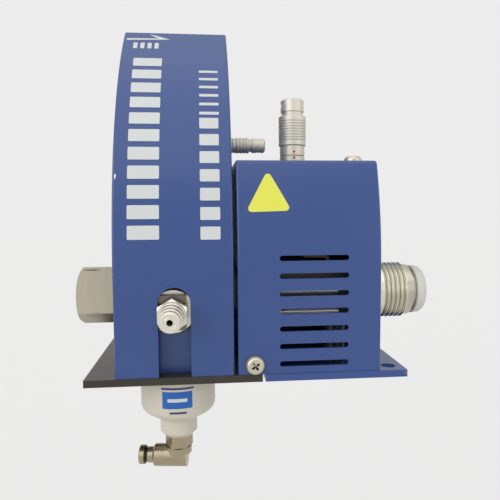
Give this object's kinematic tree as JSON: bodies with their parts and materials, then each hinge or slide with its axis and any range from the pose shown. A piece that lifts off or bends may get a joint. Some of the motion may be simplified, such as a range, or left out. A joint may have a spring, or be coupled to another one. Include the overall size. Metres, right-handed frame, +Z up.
{
  "type": "liquid mass flow vaporizer",
  "caption": "Heated liquid flow vaporizer: tall curved valve cover, vented heater cover, union inlet, threaded outlet, shut-off actuator with push-in elbow below.",
  "frame": {"origin": "middle of the underside of the heater's base plate, the face it is mounted by, on Z = 0", "axes": "+Z up out of the base, +X along the flow from the gas inlet to the outlet, +Y away from the liquid inlet"},
  "size_m": [0.1361, 0.0927, 0.1799],
  "materials": {
    "blue_paint": "smooth gloss paint on steel sheet",
    "black_plate": "black anodised plate",
    "stainless": "machined stainless steel",
    "bright_steel": "polished stainless steel",
    "plated_screw": "nickel plated steel screws",
    "sheet_steel": "plain folded sheet",
    "satin_plug": "satin chromed brass connector shell",
    "ceramic_white": "unglazed ceramic",
    "spacer_plastic": "tan insulating plastic",
    "cap_plastic": "pale translucent moulded cap",
    "lead_insulation": "coloured lead insulation",
    "board_green": "circuit board with solder mask",
    "board_black": "moulded component cases",
    "cream_paint": "smooth off-white paint",
    "nickel": "nickel plated brass",
    "plain_aluminium": "machined aluminium",
    "seal_rubber": "black sealing rubber",
    "heat_dark_steel": "stainless steel darkened by heat",
    "dark_insulator": "dark pressed insulating spacers",
    "collet_black": "black moulded collet"
  },
  "bodies": {
    "housing": {"valve_base_plate": "black_plate", "heater_base_plate": "blue_paint", "valve_cover": "blue_paint", "heater_cover": "blue_paint", "cover_screws": "plated_screw", "cover_bracket": "blue_paint", "valve_block": "stainless", "block_screws": "plated_screw", "seat_insert": "stainless", "control_diaphragm": "stainless", "drive_flange": "stainless", "drive_screws": "plated_screw", "drive_housing": "stainless", "plunger": "stainless", "piezo_stack": "ceramic_white", "drive_cap": "stainless", "drive_lock_nut": "stainless", "gas_inlet_gland": "bright_steel", "inlet_panel": "blue_paint", "liquid_inlet_flange": "bright_steel", "liquid_clamp_block": "stainless", "liquid_connector": "bright_steel", "heat_break": "spacer_plastic", "vaporizer_body": "heat_dark_steel", "injection_nozzle": "bright_steel", "cartridge_heaters": "stainless", "heater_probes": "bright_steel", "probe_clips": "sheet_steel", "heater_standoffs": "dark_insulator", "overheat_switch": "plain_aluminium", "heater_leads": "lead_insulation", "outlet_body": "bright_steel", "outlet_cap": "cap_plastic", "board_bracket": "plain_aluminium", "board_standoffs": "plated_screw", "control_board": "board_green", "board_parts": "board_black", "power_receptacle": "satin_plug", "power_panel_nut": "satin_plug", "power_plug_body": "satin_plug", "power_plug_nut": "satin_plug", "signal_receptacle": "satin_plug", "signal_panel_nut": "satin_plug", "signal_plug_body": "satin_plug", "signal_plug_nut": "satin_plug", "actuator_body": "cream_paint", "actuator_lid": "plain_aluminium", "actuator_spring": "stainless", "shutoff_diaphragm": "stainless", "elbow_stem": "nickel"},
    "union_nut": {"inlet_union_nut": "stainless"},
    "power_sleeve": {"power_plug_sleeve": "satin_plug"},
    "signal_sleeve": {"signal_plug_sleeve": "satin_plug"},
    "piston_unit": {"piston": "plain_aluminium", "piston_seal": "seal_rubber"},
    "elbow": {"elbow_body": "nickel", "elbow_arm": "nickel"},
    "ring": {"release_ring": "nickel", "tube_collet": "collet_black"}
  },
  "joints": [
    {"name": "union_nut_spin", "type": "hinge", "parent": "housing", "child": "union_nut", "pos_m": [-0.08765, -0.019, 0.0306], "axis": [1, 0, 0], "continuous": true},
    {"name": "power_sleeve_pull", "type": "slide", "parent": "housing", "child": "power_sleeve", "axis": [0, 0, 1], "range_m": [0, 0.0014]},
    {"name": "signal_sleeve_pull", "type": "slide", "parent": "housing", "child": "signal_sleeve", "axis": [1, 0, 0], "range_m": [0, 0.001]},
    {"name": "piston_stroke", "type": "slide", "parent": "housing", "child": "piston_unit", "axis": [0, 0, -1], "range_m": [0, 0.001], "stiffness_N_per_m": 2500, "springref_m": -0.0015, "deforming": ["actuator_spring"]},
    {"name": "elbow_swivel", "type": "hinge", "parent": "housing", "child": "elbow", "pos_m": [-0.0602, -0.019, -0.0327], "axis": [0, 0, 1], "continuous": true},
    {"name": "release_ring_push", "type": "slide", "parent": "elbow", "child": "ring", "axis": [0.9925, -0.1219, 0], "range_m": [0, 0.0009]}
  ]
}
